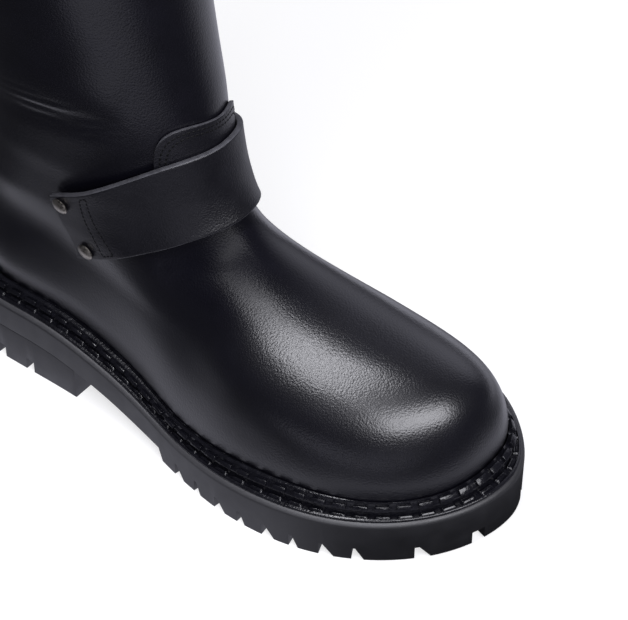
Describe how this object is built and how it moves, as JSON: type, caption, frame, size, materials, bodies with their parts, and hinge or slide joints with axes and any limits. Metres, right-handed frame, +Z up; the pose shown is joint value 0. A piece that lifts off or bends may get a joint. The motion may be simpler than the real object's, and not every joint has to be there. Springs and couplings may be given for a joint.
{
  "type": "biker boot",
  "caption": "Black leather biker boot for the right foot, hollow shaft and round toe on a storm welt, lugged rubber sole, riveted instep strap over a stitched tab.",
  "frame": {"origin": "middle of the sole's outline, on the floor under the boot", "axes": "+X from heel to toe, +Y to the inner (medial) side of the foot, +Z up the shaft"},
  "size_m": [0.2622, 0.1098, 0.2851],
  "materials": {
    "leather": "black smooth leather, fine grain, semi-gloss",
    "welt": "glossy black moulded welt",
    "rubber": "matte black moulded rubber",
    "insole": "dark grey lining cloth",
    "nickel": "antique nickel"
  },
  "bodies": {
    "root": {"upper": "leather", "instep_tab": "leather", "instep_strap": "leather", "welt": "welt", "outsole": "rubber", "heel": "rubber", "insole": "insole", "rivet_lateral_low": "nickel", "rivet_lateral_high": "nickel", "rivet_medial_low": "nickel", "rivet_medial_high": "nickel"}
  },
  "joints": []
}
